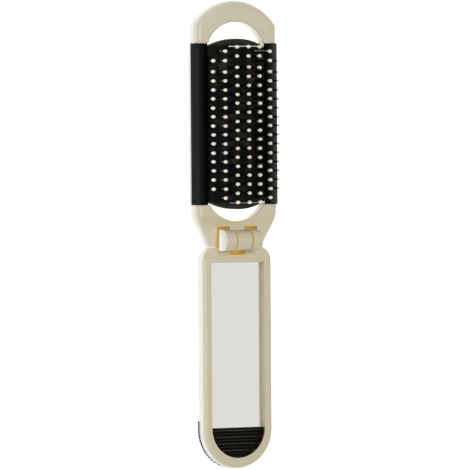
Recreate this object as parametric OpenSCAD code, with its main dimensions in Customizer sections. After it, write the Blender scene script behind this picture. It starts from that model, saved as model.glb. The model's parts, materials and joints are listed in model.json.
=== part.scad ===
// Folding hairbrush with a mirror in its handle.
// The open brush lies on its back: bristles up (+Z), head towards +Y, handle towards -Y.
// The origin is the middle of the underside of its overall box.

/* [Head] */
// Reach from the hinge axis to the far edge of the ring
head_reach = 95.6; // [90:0.2:104]
// Width of the ivory head across its straight sides
head_w = 36.6; // [35:0.2:40]
// Thickness of the head
head_t = 5.9; // [5.4:0.1:6.6]
// Length of the ring beyond the side grips
ring_l = 17; // [16:0.1:19]
// Width of the ring at the far edge
ring_bar = 8.5; // [6:0.1:9]
// Width of the ring at its sides
ring_side = 4.9; // [4.4:0.1:5.8]
// Radius of the ring's outer arc beyond half the head's width
ring_bulge = 3.5; // [2.5:0.1:4.5]
// Distance from the hinge axis to the lower opening
neck_l = 7.7; // [7.2:0.1:9]
// Width of the frame beside the lower opening
lower_side = 3.8; // [3.5:0.1:4.7]
// Drop of the neck's front face towards the waist
neck_drop = 1.6; // [0.8:0.1:2.2]
// Width of the neck's cheeks beside the hinge
cheek_w = 3.5; // [2.6:0.1:4]
// Floor left under the hinge pockets
pocket_floor = 1.2; // [0.8:0.1:1.5]

/* [Side grips] */
// Distance from the hinge axis to the near end of the side grips
rail_start = 14.2; // [13.4:0.2:16]
// Width of a side grip, seen from the front
rail_w = 5.6; // [5.4:0.1:6]
// Height of the side grips above the head's front
rail_rise = 1.4; // [1.1:0.1:1.7]
// How far the side grips stand out beyond the ivory sides
rail_proud = 0.2; // [0:0.1:0.6]
// Wall of the side grips over the frame's bars
rail_wall = 1.2; // [0.8:0.1:1.4]
// Height that the inner slope of a side grip drops
rail_slope = 1.9; // [1:0.1:2.2]
// Rounding of a side grip's upper outer edge
rail_round = 3; // [2:0.1:4]
// Rounding of a side grip's lower outer edge
rail_foot = 2; // [1.2:0.1:2.4]

/* [Cushion] */
// How far the cushion's ends bulge beyond the side grips
pad_over = 1.8; // [1.2:0.1:2.2]
// Bow of the cushion's round ends
pad_end_bow = 3.4; // [2.6:0.1:4]
// Arch of the cushion's face from edge to crown
pad_arch = 2.2; // [1.6:0.1:2.4]
// Height of the cushion's crown above the head's front
pad_rise = 1.5; // [1.3:0.1:1.7]
// Thickness of the carrier under the cushion
carrier_t = 1.8; // [1.4:0.1:2]
// Depth of the carrier's snap ribs
snap_d = 0.6; // [0.4:0.1:0.8]

/* [Bristles] */
// Columns of bristles on each side of the middle one
side_columns = 3; // [2:1:3]
// Distance from the outer columns to the cushion's edge
column_margin = 1.15; // [1:0.05:2]
// Distance between rows
row_pitch = 3.65; // [3.4:0.05:4.2]
// Angle that each column leans out more than the one before it
column_fan = 6.3; // [5:0.1:6.4]
// Free length of a bristle, from the cushion to the middle of its tip
bristle_l = 9; // [7:0.1:9.4]
// Radius of a bristle at its root
bristle_root_r = 0.5; // [0.4:0.05:0.6]
// Radius of a bristle at its end
bristle_end_r = 0.38; // [0.3:0.02:0.44]
// Radius of a ball tip
tip_r = 0.88; // [0.7:0.02:0.96]
// Bare edge of the cushion beyond the last row
row_margin = 2.4; // [2.2:0.1:2.6]

/* [Hinge] */
// Least gap between the bristle tips and the handle when folded
fold_gap = 0.25; // [0.2:0.05:0.6]
// Radius of the hinge pin
pin_r = 0.75; // [0.6:0.05:0.9]
// Plastic left over the hinge pin at the lugs' crown
lug_cap = 1.3; // [1:0.1:1.6]
// Radius of the handle's rounded lugs
lug_r = 4.2; // [4:0.1:4.4]
// Half width over both lugs
lug_out = 8; // [7.6:0.1:8.2]
// Half width of the head's middle knuckle
knuckle_half = 3.4; // [3:0.1:3.6]
// Clearance between the knuckles
knuckle_gap = 0.3; // [0.2:0.05:0.4]
// Clearance between a lug and the neck's cheek
cheek_gap = 0.9; // [0.3:0.05:1]
// Length of the clearance slots before and behind the knuckles
slot_gap = 1.4; // [1:0.1:1.8]
// Closed wall that the hinge pin stops against
pin_stop = 1.2; // [0.8:0.1:1.6]

/* [Handle] */
// Reach from the hinge axis to the end of the handle
handle_reach = 91.2; // [88:0.2:100]
// Width of the handle
handle_w = 31; // [29:0.2:33]
// Thickness of the handle
handle_t = 5.6; // [5.2:0.1:6]
// Radius of the handle's shoulders
shoulder_r = 6; // [5:0.2:7]
// Drop of the handle's front face towards the waist
shoulder_drop = 1.2; // [0.4:0.1:1.6]
// Width of the rim beside the mirror
rim_w = 3.7; // [3:0.1:4.4]
// Width of the rim at the handle's end
end_rim = 4.2; // [3.4:0.1:5]

/* [Mirror] */
// Distance from the hinge axis to the mirror
mirror_start = 8.8; // [8.4:0.1:10]
// Depth of the mirror below the handle's rim
mirror_depth = 2.4; // [2.2:0.1:2.8]
// Thickness of the mirror glass
mirror_t = 0.9; // [0.8:0.1:1.2]
// Thickness of the adhesive sheet behind the mirror
tape_t = 0.2; // [0.15:0.05:0.3]

/* [Rubber grips] */
// Distance between the ribs of the thumb grip
rib_pitch = 1.4; // [1.2:0.05:1.8]
// Height of the thumb grip's ribs
rib_h = 0.7; // [0.4:0.05:0.8]
// Width of the lip round the thumb grip
lip_w = 0.8; // [0.6:0.1:1]
// Drop of the thumb grip's lip below the handle's rim
lip_drop = 0.4; // [0.2:0.1:0.8]
// Length of the back grip
back_grip_l = 19.2; // [16:0.2:24]
// Thickness of the back grip
back_grip_t = 1.2; // [0.9:0.05:1.3]
// Distance between the grooves of the back grip
groove_pitch = 1.3; // [1.1:0.05:1.8]
// Depth of the grooves of the back grip
groove_d = 0.4; // [0.2:0.05:0.5]

/* [Fits] */
// Clearance round pieces that sit in a recess
seat_gap = 0.05; // [0.03:0.01:0.1]
// Radial clearance of the hinge pin in the turning knuckle
pin_gap = 0.05; // [0.03:0.01:0.09]
// Radial clearance of the hinge pin in the fixed lugs
pin_press_gap = 0.01; // [0.01:0.005:0.02]
// Gap between head and handle at the waist
butt_gap = 0.3; // [0.2:0.05:0.5]

/* [Edges] */
// Rounding of the head's front edge
head_round = 2.4; // [1.5:0.1:2.8]
// Rounding of the handle's front edge
handle_round = 1.5; // [0.8:0.1:1.8]
// Rounding of the back edges
back_round = 0.9; // [0.5:0.1:1.2]
// Rounding of the openings' mouths
mouth_round = 0.8; // [0.4:0.1:1]

/* [Hidden] */
$fn = 96;
eps = 0.01;

hinge_y = (handle_reach - head_reach) / 2;
butt_y = -2.6;

// Side grips and the bars that they clip over
rail_end = head_reach - ring_l;
rail_l = rail_end - rail_start;
rail_h = head_t + rail_rise;
rail_out = head_w / 2 + rail_proud;
rail_in = rail_out - rail_w;
bar_out = rail_out - 2.5 * rail_wall;
bar_bottom = rail_wall;
bar_top = rail_h - rail_slope - rail_wall + 0.2;

// Plan of the head, measured from the hinge axis
ring_outer_r = head_w / 2 + ring_bulge;
ring_inner_r = head_w / 2 - ring_side;
ring_outer_y = head_reach - ring_outer_r;
ring_inner_y = head_reach - ring_bar - ring_inner_r;
lower_open_r = head_w / 2 - lower_side;
lower_open_y = neck_l + lower_open_r;
pocket_half = lug_out + cheek_gap;
waist_w = 2 * (pocket_half + cheek_w);
neck_top_y = neck_l + 1.5;
neck_angle = atan((head_w - waist_w) / 2 / (neck_top_y - butt_y));
neck_slope = atan(neck_drop / (neck_top_y - butt_y));
neck_corner_cut = 0.4;

// Cushion and its carrier
pad_half = rail_in - seat_gap;
pad_y = (rail_start + rail_end) / 2;
pad_l = rail_l + 2 * pad_over;
pad_end_r = (pow(pad_half, 2) + pow(pad_end_bow, 2)) / (2 * pad_end_bow);
pad_face_r = (pow(pad_half, 2) + pow(pad_arch, 2)) / (2 * pad_arch);
pad_crown = head_t + pad_rise;
carrier_bottom = 0.5;
pad_bottom = carrier_bottom + carrier_t + seat_gap;
snap_low = bar_bottom + 0.3;
snap_h = 0.7;
snap_l = 0.75 * rail_l;

// Bristles
column_pitch = (pad_half - column_margin) / side_columns;
root_depth = 1.6;
root_gap = 0.03;
tip_tail = 2.2;
tip_seat = 0.01;

// Hinge: its height leaves room for the bristles over the mirror when folded
hinge_z = (max(tip_top(0) - mirror_depth, tip_top(side_columns)) + handle_t + fold_gap) / 2;
lug_crown = hinge_z + pin_r + lug_cap;
knuckle_r = lug_r - 0.2;
knuckle_crown = lug_crown - 0.2;
sweep_r = hinge_z - pocket_floor - knuckle_gap;
slot_half = knuckle_half + knuckle_gap;
pocket_y = lug_r + slot_gap;
slot_y = -(knuckle_r + slot_gap + knuckle_gap);
pin_flush = 0.2;

// Handle
handle_top = butt_y - butt_gap;
shoulder_x = handle_w / 2 - shoulder_r;
shoulder_y = handle_top - shoulder_r + 0.6;
shoulder_slope = atan(shoulder_drop / (handle_top - shoulder_y));
handle_end_r = handle_w / 2;
handle_end_y = -(handle_reach - handle_end_r);
mirror_w = handle_w - 2 * rim_w;
mirror_top_z = handle_t - mirror_depth;
recess_floor = mirror_top_z - mirror_t - tape_t - 2 * seat_gap;
tape_inset = 1;
thumb_r = mirror_w / 2;
thumb_y = -(handle_reach - end_rim - thumb_r);
mirror_end_y = thumb_y + 0.2;
thumb_base = mirror_top_z - 0.1 - rib_h;
thumb_edge = 0.9;
back_grip_start = handle_reach - back_grip_l;
lip_top = handle_t - lip_drop;

side_signs = [-1, 1];
columns = [-side_columns:side_columns];

ivory = [0.80, 0.75, 0.62];
black = [0.10, 0.10, 0.11];
cream = [0.90, 0.88, 0.80];

// ---- Shared shapes -------------------------------------------------------

// Box from its two corners
module block(low, high) {
    translate(low)
        cube(high - low);
}

// Children on the right side of the brush, or mirrored to the left
module on_side(side) {
    mirror([side < 0 ? 1 : 0, 0, 0])
        children();
}

// Section of a plate from x = 0 to x = w, its far edge rounded at the back and, by r, at the front
module edge_section(w, t, r) {
    square([w - r, t]);
    translate([0, back_round])
        square([w, t - back_round - r]);
    square([w - back_round, t / 2]);
    translate([w - back_round, back_round])
        circle(back_round);
    translate([w - r, t - r])
        circle(r);
}

// Round plate with a rounded rim
module round_plate(plate_r, t, r) {
    rotate_extrude()
        edge_section(plate_r, t, r);
}

// Long plate along Y with both long edges rounded
module long_plate(w, t, r, y_low, y_high) {
    for (side = side_signs)
        on_side(side)
            translate([0, y_high, 0])
                rotate([90, 0, 0])
                    linear_extrude(y_high - y_low)
                        translate([-eps, 0])
                            edge_section(w / 2 + eps, t, r);
}

// Runs along X from x_low to x_high, its children drawn in the YZ plane
module side_extrude(x_low, x_high) {
    translate([x_low, 0, 0])
        rotate([90, 0, 90])
            linear_extrude(x_high - x_low)
                children();
}

// Half of a disc or ring towards the handle's end, its straight side at y
module half_round(y, r, hole_r, low, high) {
    translate([0, y, low])
        rotate([0, 0, 180])
            rotate_extrude(angle = 180)
                translate([hole_r, 0])
                    square([r - hole_r, high - low]);
}

// Hinge bore or pin along X
module hinge_round(r, x_low, x_high) {
    translate([x_low, 0, hinge_z])
        rotate([0, 90, 0])
            cylinder(h = x_high - x_low, r = r);
}

// Places children, drawn round the hinge axis, in the part's frame
module from_hinge() {
    translate([0, hinge_y, 0])
        children();
}

// ---- Head ----------------------------------------------------------------

// Plate whose rounded edge runs down one side of the neck, turned in by an angle
module neck_side_plate(side, t, angle, cut) {
    reach = head_reach;
    on_side(side)
        translate([head_w / 2, neck_top_y, 0])
            rotate([0, 0, -angle])
                translate([-reach - cut, reach, 0])
                    rotate([90, 0, 0])
                        linear_extrude(2 * reach)
                            edge_section(reach, t, head_round);
}

// Plate with the head's straight sides that taper along the neck, the corners between them eased
module sided_plate(t, y_low, y_high) {
    intersection() {
        long_plate(head_w, t, head_round, y_low, y_high);
        intersection_for (side = side_signs)
            neck_side_plate(side, t, neck_angle, 0);
        intersection_for (side = side_signs)
            neck_side_plate(side, t, neck_angle / 2, neck_corner_cut);
    }
}

// Solid outline of the head before its openings, its front face dropping along the neck
module head_blank() {
    deep = head_reach;
    intersection() {
        union() {
            sided_plate(head_t, butt_y, ring_outer_y);
            intersection() {
                long_plate(head_w, head_t, head_round, ring_outer_y - eps, head_reach);
                translate([0, ring_outer_y, 0])
                    round_plate(ring_outer_r, head_t, head_round);
            }
        }
        translate([0, neck_top_y, head_t])
            rotate([neck_slope, 0, 0])
                translate([0, -neck_top_y, -deep])
                    sided_plate(deep, -deep, 2 * deep);
    }
}

// Cutter for an opening whose mouths are softly rounded on both faces
module round_opening(r) {
    difference() {
        translate([0, 0, -eps])
            cylinder(h = head_t + 2 * eps, r = r + mouth_round);
        rotate_extrude()
            difference() {
                translate([r, 0])
                    square([2 * mouth_round, head_t]);
                for (z = [0, head_t])
                    translate([r - eps, z])
                        mirror([0, z > 0 ? 1 : 0])
                            translate([0, -eps])
                                difference() {
                                    square(mouth_round + eps);
                                    translate([mouth_round + eps, mouth_round + eps])
                                        circle(mouth_round);
                                }
            }
    }
}

// Cushion outline in plan, its ends bulging outwards
module pad_outline(inset) {
    half = pad_half - inset;
    straight = pad_l / 2 - pad_end_r;
    translate([-half, -straight])
        square([2 * half, 2 * straight]);
    for (end = [0, 1])
        mirror([0, end])
            translate([0, straight])
                intersection() {
                    circle(pad_end_r - inset, $fn = 180);
                    translate([-half, -eps])
                        square([2 * half, pad_l]);
                }
}

// Snap ribs along both sides of the carrier, grown by a clearance
module snap_ribs(gap) {
    for (side = side_signs)
        on_side(side)
            block([pad_half - 1, pad_y - snap_l / 2 - gap, snap_low - gap],
                  [pad_half + snap_d + gap, pad_y + snap_l / 2 + gap, snap_low + snap_h + gap]);
}

// Middle knuckle, rounded over the hinge axis, its lower corner swept clear of the handle
module knuckle_blank() {
    side_extrude(-knuckle_half, knuckle_half)
        intersection() {
            union() {
                translate([0, knuckle_crown - knuckle_r])
                    circle(knuckle_r);
                translate([-knuckle_r, 0])
                    square([2 * knuckle_r, knuckle_crown - knuckle_r]);
                square([pocket_y + 1, head_t - neck_drop / 2]);
            }
            union() {
                translate([0, hinge_z])
                    circle(sweep_r);
                translate([butt_y, 0])
                    square([pocket_y + 1 - butt_y, head_t]);
            }
        }
}

// Hollow of a side grip's seat, leaving the bar that the grip clips over
module grip_seat() {
    difference() {
        block([rail_in - eps, rail_start, -1], [head_w, rail_end, head_t + 1]);
        block([rail_in - 1, rail_start - 1, bar_bottom], [bar_out, rail_end + 1, bar_top]);
    }
}

module head_frame() {
    color(ivory)
        from_hinge()
            difference() {
                union() {
                    difference() {
                        head_blank();
                        block([-pocket_half, butt_y - 1, pocket_floor], [pocket_half, pocket_y, head_t + 1]);
                    }
                    knuckle_blank();
                }
                translate([0, ring_inner_y, 0])
                    round_opening(ring_inner_r);
                translate([0, lower_open_y, 0])
                    round_opening(lower_open_r);
                block([-rail_in, rail_start, -1], [rail_in, rail_end, head_t + 1]);
                snap_ribs(seat_gap);
                for (side = side_signs)
                    on_side(side)
                        grip_seat();
                hinge_round(pin_r + pin_gap, -knuckle_half - 1, knuckle_half + 1);
            }
}

// Section of a side grip: a round outer side, a full foot and a slope down to the cushion
module grip_section() {
    shoulder = rail_out - rail_round;
    translate([shoulder, rail_h - rail_round])
        intersection() {
            circle(rail_round);
            square(rail_round);
        }
    translate([rail_out - rail_foot, rail_foot])
        circle(rail_foot);
    translate([rail_in, 0])
        square([rail_w - rail_foot, rail_foot]);
    translate([rail_in, rail_foot])
        square([rail_w, rail_h - rail_round - rail_foot]);
    polygon([[rail_in, rail_foot], [shoulder + rail_round / 2, rail_foot], [shoulder, rail_h],
             [shoulder - 0.4, rail_h - 0.1], [rail_in, rail_h - rail_slope]]);
}

// Side grip along the head's right side, hollowed to clip over the frame's bar
module side_grip() {
    from_hinge()
        translate([0, rail_end - seat_gap, 0])
            rotate([90, 0, 0])
                linear_extrude(rail_l - 2 * seat_gap)
                    difference() {
                        grip_section();
                        translate([rail_in - 1, bar_bottom - seat_gap])
                            square([bar_out + seat_gap - rail_in + 1, bar_top - bar_bottom + 2 * seat_gap]);
                    }
}

module side_grip_right() {
    color(black)
        side_grip();
}

module side_grip_left() {
    color(black)
        mirror([1, 0, 0])
            side_grip();
}

module cushion_carrier() {
    color(black)
        from_hinge() {
            translate([0, pad_y, carrier_bottom])
                linear_extrude(carrier_t)
                    pad_outline(0.3);
            snap_ribs(0);
        }
}

// Height of the cushion's face at a distance x from its middle
function face_z(x) = pad_crown - pad_face_r + sqrt(pow(pad_face_r, 2) - pow(x, 2));

// Half length of the cushion at a distance x from its middle
function pad_reach(x) = pad_l / 2 - pad_end_r + sqrt(pow(pad_end_r, 2) - pow(x, 2));

// Height of the ball tips of column k, counted from the middle column
function tip_top(k) = face_z(k * column_pitch) + bristle_l * cos(k * column_fan) + tip_r;

// Rows that fit in column k: outer columns have one on the middle line, inner ones stand half a pitch off it
function row_count(k) =
    let (room = (pad_reach(k * column_pitch) - row_margin) / row_pitch)
        abs(k) < 2 ? 2 * floor(room + 0.5) : 2 * floor(room) + 1;

// Children at each root of column k, leaning as that column does
module at_roots(k) {
    rows = row_count(k);
    x = k * column_pitch;
    for (i = [0:rows - 1])
        translate([x, pad_y + (i - (rows - 1) / 2) * row_pitch, face_z(x)])
            rotate([0, k * column_fan, 0])
                children();
}

module bristle_cushion() {
    color(black)
        from_hinge()
            difference() {
                intersection() {
                    translate([0, pad_y, pad_bottom])
                        linear_extrude(pad_crown)
                            pad_outline(0);
                    translate([0, pad_y + pad_l, pad_crown - pad_face_r])
                        rotate([90, 0, 0])
                            cylinder(h = 2 * pad_l, r = pad_face_r, $fn = 180);
                }
                for (k = columns)
                    at_roots(k)
                        translate([0, 0, -root_depth - root_gap])
                            cylinder(h = root_depth + 2, r = bristle_root_r + root_gap, $fn = 24);
            }
}

// Tapered shafts of column k
module bristles(k) {
    color(black)
        from_hinge()
            at_roots(k)
                translate([0, 0, -root_depth])
                    cylinder(h = root_depth + bristle_l - tip_tail, r1 = bristle_root_r, r2 = bristle_end_r, $fn = 24);
}

// Ball tips of column k, drawn out over the ends of the shafts
module tips(k) {
    neck = acos((tip_r - bristle_end_r) / (tip_tail - tip_seat));
    color(cream)
        from_hinge()
            at_roots(k)
                translate([0, 0, bristle_l]) {
                    sphere(tip_r, $fn = 32);
                    translate([0, 0, tip_seat - tip_tail])
                        cylinder(h = tip_tail - tip_seat - tip_r * cos(neck),
                                 r1 = bristle_end_r, r2 = tip_r * sin(neck), $fn = 32);
                }
}

// ---- Handle --------------------------------------------------------------

// Rounded shoulders, their front face dropping towards the waist
module shoulders() {
    difference() {
        intersection() {
            union() {
                block([-shoulder_x, shoulder_y - eps, 0], [shoulder_x, handle_top, handle_t]);
                for (side = side_signs)
                    translate([side * shoulder_x, shoulder_y, 0])
                        round_plate(shoulder_r, handle_t, handle_round);
            }
            block([-handle_w, shoulder_y - 2 * shoulder_r, 0], [handle_w, handle_top, handle_t]);
        }
        translate([-handle_w, shoulder_y, handle_t])
            rotate([-shoulder_slope, 0, 0])
                cube([2 * handle_w, 2 * shoulder_r, handle_t]);
    }
}

// Solid outline of the handle
module handle_blank() {
    shoulders();
    long_plate(handle_w, handle_t, handle_round, handle_end_y, shoulder_y);
    translate([0, handle_end_y, 0])
        round_plate(handle_end_r, handle_t, handle_round);
}

// Lug rounded over the hinge axis, its foot swept clear of the head's pocket
module lug(x_low) {
    side_extrude(x_low, x_low + lug_out - slot_half)
        intersection() {
            union() {
                translate([0, lug_crown - lug_r])
                    circle(lug_r);
                translate([-lug_r, 0])
                    square([2 * lug_r, lug_crown - lug_r]);
                translate([slot_y - 1, 0])
                    square([-slot_y, handle_t - shoulder_drop]);
            }
            union() {
                translate([0, hinge_z])
                    circle(sweep_r);
                translate([slot_y - 2, 0])
                    square([handle_top - slot_y + 2, lug_crown]);
            }
        }
}

module handle_frame() {
    color(ivory)
        from_hinge()
            difference() {
                union() {
                    difference() {
                        handle_blank();
                        block([-slot_half, slot_y, pocket_floor], [slot_half, 1, handle_t + 1]);
                    }
                    lug(slot_half);
                    lug(-lug_out);
                }
                block([-mirror_w / 2 - seat_gap, thumb_y, recess_floor],
                      [mirror_w / 2 + seat_gap, -mirror_start + seat_gap, handle_t + 1]);
                translate([0, thumb_y, recess_floor])
                    cylinder(h = handle_t, r = thumb_r + seat_gap);
                block([-handle_w, -handle_reach - 1, -1], [handle_w, -back_grip_start, back_grip_t]);
                hinge_round(pin_r + pin_press_gap, -lug_out + pin_stop, lug_out + 1);
            }
}

module hinge_pin() {
    color("silver")
        from_hinge()
            hinge_round(pin_r, -lug_out + pin_stop + pin_flush, lug_out - pin_flush);
}

module mirror_adhesive() {
    color("white")
        from_hinge()
            block([-mirror_w / 2 + tape_inset, mirror_end_y + tape_inset, recess_floor + seat_gap],
                  [mirror_w / 2 - tape_inset, -mirror_start - tape_inset, recess_floor + seat_gap + tape_t]);
}

module mirror_glass() {
    color("gainsboro")
        from_hinge()
            block([-mirror_w / 2, mirror_end_y, mirror_top_z - mirror_t],
                  [mirror_w / 2, -mirror_start, mirror_top_z]);
}

// Half-round rubber dish, ribbed across inside its lip
module thumb_grip() {
    ribs = floor((thumb_r - lip_w - 2 * thumb_edge) / rib_pitch);
    foot = 0.32 * rib_pitch;
    crest = 0.2 * rib_pitch;
    color(black)
        from_hinge() {
            half_round(thumb_y, thumb_r, 0, recess_floor + seat_gap, thumb_base);
            half_round(thumb_y, thumb_r, thumb_r - lip_w, thumb_base - eps, lip_top);
            intersection() {
                half_round(thumb_y, thumb_r - lip_w / 2, 0, recess_floor + seat_gap, handle_t);
                for (i = [0:ribs])
                    translate([0, thumb_y - thumb_edge - i * rib_pitch, thumb_base - eps])
                        side_extrude(-thumb_r, thumb_r)
                            polygon([[-foot, 0], [foot, 0], [crest, rib_h], [-crest, rib_h]]);
            }
        }
}

// Rubber sole on the back of the handle's end, grooved across
module back_grip() {
    grooves = floor(back_grip_l / groove_pitch) - 1;
    color(black)
        from_hinge()
            difference() {
                union() {
                    block([-handle_w / 2, handle_end_y, 0],
                          [handle_w / 2, -back_grip_start - seat_gap, back_grip_t - seat_gap]);
                    half_round(handle_end_y, handle_end_r, 0, 0, back_grip_t - seat_gap);
                }
                for (i = [1:grooves])
                    translate([0, -back_grip_start - i * groove_pitch, 0])
                        side_extrude(-handle_w, handle_w)
                            polygon([[-groove_d, 0], [groove_d, 0], [0, groove_d]]);
            }
}

head_frame();
side_grip_left();
side_grip_right();
cushion_carrier();
bristle_cushion();
bristles(-3);  // bristles_column_1
bristles(-2);  // bristles_column_2
bristles(-1);  // bristles_column_3
bristles(0);  // bristles_column_4
bristles(1);  // bristles_column_5
bristles(2);  // bristles_column_6
bristles(3);  // bristles_column_7
tips(-3);  // tips_column_1
tips(-2);  // tips_column_2
tips(-1);  // tips_column_3
tips(0);  // tips_column_4
tips(1);  // tips_column_5
tips(2);  // tips_column_6
tips(3);  // tips_column_7
handle_frame();
hinge_pin();
mirror_adhesive();
mirror_glass();
thumb_grip();
back_grip();
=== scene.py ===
"""Looks of a folding hairbrush with a mirror in its handle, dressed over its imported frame."""

import json
import math

import bmesh
import bpy
from mathutils import Matrix, Vector


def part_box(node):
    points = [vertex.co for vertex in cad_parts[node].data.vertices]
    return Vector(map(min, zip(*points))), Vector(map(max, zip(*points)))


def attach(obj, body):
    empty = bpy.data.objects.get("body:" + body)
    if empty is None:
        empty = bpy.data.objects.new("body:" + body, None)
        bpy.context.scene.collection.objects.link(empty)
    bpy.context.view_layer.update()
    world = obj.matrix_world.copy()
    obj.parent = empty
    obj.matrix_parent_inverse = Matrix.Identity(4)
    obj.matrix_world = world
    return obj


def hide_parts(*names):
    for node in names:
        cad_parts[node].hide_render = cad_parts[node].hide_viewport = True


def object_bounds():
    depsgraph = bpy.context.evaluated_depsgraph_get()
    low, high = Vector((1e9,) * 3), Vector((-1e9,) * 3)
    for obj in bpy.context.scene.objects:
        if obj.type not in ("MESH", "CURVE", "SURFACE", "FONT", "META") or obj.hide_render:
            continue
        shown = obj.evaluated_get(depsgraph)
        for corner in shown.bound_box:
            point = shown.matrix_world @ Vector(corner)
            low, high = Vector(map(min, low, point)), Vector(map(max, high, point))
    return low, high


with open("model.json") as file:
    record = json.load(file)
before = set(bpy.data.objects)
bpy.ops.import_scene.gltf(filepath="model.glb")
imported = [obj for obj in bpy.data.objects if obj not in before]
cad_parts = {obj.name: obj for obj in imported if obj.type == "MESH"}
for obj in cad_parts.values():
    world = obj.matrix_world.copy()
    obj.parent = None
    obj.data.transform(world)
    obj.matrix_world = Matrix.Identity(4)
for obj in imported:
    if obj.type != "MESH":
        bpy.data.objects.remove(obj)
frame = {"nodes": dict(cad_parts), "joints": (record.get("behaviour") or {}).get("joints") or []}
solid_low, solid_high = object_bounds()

MM = 0.001
SEED = 7

# ---- Node trees ----------------------------------------------------------


class Wire:
    """An output socket of a node tree. Arithmetic on it adds Math nodes."""

    def __init__(self, net, socket):
        self.net, self.socket = net, socket

    def math(self, operation, *values):
        """A Math node on this value and the others."""
        return self.net.node("ShaderNodeMath", {"operation": operation}, dict(enumerate((self,) + values)))

    def __add__(self, other):
        return self.math("ADD", other)

    __radd__ = __add__

    def __mul__(self, other):
        return self.math("MULTIPLY", other)

    __rmul__ = __mul__

    def __sub__(self, other):
        return self.math("SUBTRACT", other)

    def __rsub__(self, other):
        return self.net.node("ShaderNodeMath", {"operation": "SUBTRACT"}, {0: other, 1: self})

    def __abs__(self):
        return self.math("ABSOLUTE")

    def __or__(self, other):
        """Either of two masks: the larger value."""
        return self.math("MAXIMUM", other)

    def hypot(self, other):
        """Distance from the origin of a point with these two coordinates."""
        return (self * self + other * other).math("SQRT")

    def rise(self, low, high):
        """0 below low, 1 above high and a smooth step between them; high may be the lower one."""
        return self.net.node("ShaderNodeMapRange", {"interpolation_type": "SMOOTHSTEP"},
                             {"Value": self, "From Min": low, "From Max": high})

    def above(self, edge, soft):
        """1 above edge, fading to 0 over soft below it."""
        return self.rise(edge - soft, edge)

    def below(self, edge, soft):
        """1 below edge, fading to 0 over soft above it."""
        return self.rise(edge + soft, edge)

    def span(self, low, high):
        """Linear from low, where the value is 0, to high, where it is 1."""
        return self.net.node("ShaderNodeMapRange", {}, {"Value": self, "To Min": low, "To Max": high})


class Net:
    """Builds one node tree."""

    def __init__(self, tree):
        self.tree = tree

    def node(self, kind, settings=None, inputs=None, output=0):
        """Adds a node: its settings first, then the values or links of its sockets."""
        made = self.tree.nodes.new(kind)
        for name, value in (settings or {}).items():
            setattr(made, name, value)
        for name, value in (inputs or {}).items():
            if isinstance(value, Wire):
                self.tree.links.new(value.socket, made.inputs[name])
            else:
                made.inputs[name].default_value = value
        return Wire(self, made.outputs[output]) if len(made.outputs) else made

    def place(self):
        """The point on the object, in the brush's frame, since every object sits at the origin."""
        return self.node("ShaderNodeTexCoord", output="Object")

    def axes(self, vector):
        """X, Y and Z of a vector."""
        parts = self.node("ShaderNodeSeparateXYZ", inputs={0: vector}).socket.node.outputs
        return [Wire(self, part) for part in parts]

    def noise(self, scale, detail=2.0, stretch=None, roughness=0.5):
        """Noise on object coordinates; scale is in features per metre."""
        where = self.place()
        if stretch:
            where = self.node("ShaderNodeMapping", inputs={"Vector": where, "Scale": stretch})
        return self.node("ShaderNodeTexNoise", {},
                         {"Vector": where, "Scale": scale, "Detail": detail, "Roughness": roughness})

    def blend(self, share, first, second):
        """Colour from first, where share is 0, to second, where it is 1."""
        return self.node("ShaderNodeMix", {"data_type": "RGBA"}, {0: share, 6: first, 7: second}, output=2)

    def tint(self, share, colour, factor):
        """Colour multiplied by factor where share is 1."""
        return self.node("ShaderNodeMix", {"data_type": "RGBA", "blend_type": "MULTIPLY"},
                         {0: share, 6: colour, 7: factor}, output=2)

    def blend_value(self, share, first, second):
        """Number from first, where share is 0, to second, where it is 1."""
        return self.node("ShaderNodeMix", {"data_type": "FLOAT"}, {0: share, 2: first, 3: second})

    def bump(self, height, depth):
        """Normal of a surface whose height, from 0 to 1, stands for depth in metres."""
        return self.node("ShaderNodeBump", {}, {"Strength": 1.0, "Distance": depth, "Height": height})


def material(name, paint):
    """A material whose surface is what paint builds in its node tree."""
    made = bpy.data.materials.new(name)
    made.use_nodes = True
    made.node_tree.nodes.clear()
    net = Net(made.node_tree)
    net.node("ShaderNodeOutputMaterial", {}, {"Surface": paint(net)})
    return made


def principled(net, **sockets):
    """A Principled shader; the sockets are named with underscores for spaces."""
    return net.node("ShaderNodeBsdfPrincipled", {},
                    {name.replace("_", " "): value for name, value in sockets.items()})


# ---- Sizes ---------------------------------------------------------------

# The cushion: an arched face, bowed ends and a small rounded rim
cushion_low, cushion_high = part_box("bristle_cushion")
PAD_HALF = cushion_high.x
PAD_Y = (cushion_low.y + cushion_high.y) / 2
PAD_REACH = (cushion_high.y - cushion_low.y) / 2
PAD_CROWN = cushion_high.z
PAD_BOTTOM = cushion_low.z
PAD_ARCH = 2.2 * MM
PAD_END_BOW = 3.4 * MM
PAD_FACE_R = (PAD_HALF ** 2 + PAD_ARCH ** 2) / (2 * PAD_ARCH)
PAD_END_R = (PAD_HALF ** 2 + PAD_END_BOW ** 2) / (2 * PAD_END_BOW)
PAD_RIM = 0.55 * MM
PAD_STEP_ACROSS = 0.95 * MM
PAD_STEP_ALONG = 1.6 * MM

# The side grips: where, in from the outer edge, a painted highlight starts and is full,
# and on the right one's face, where grey painted light starts from the inner edge and is full before the
# outer one
rail_low, rail_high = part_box("side_grip_right")
HIGHLIGHT_START, HIGHLIGHT_FULL = 2.2 * MM, 0.8 * MM
GREY_START, GREY_FULL = 0.1 * MM, 1.3 * MM

# The mirror: a thin bevel, and the margins of its silver
mirror_low, mirror_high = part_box("mirror_glass")
MIRROR_BEVEL = 0.1 * MM
SILVER_MARGIN = 0.06 * MM
SILVER_NEAR_MARGIN = 0.34 * MM

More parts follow.
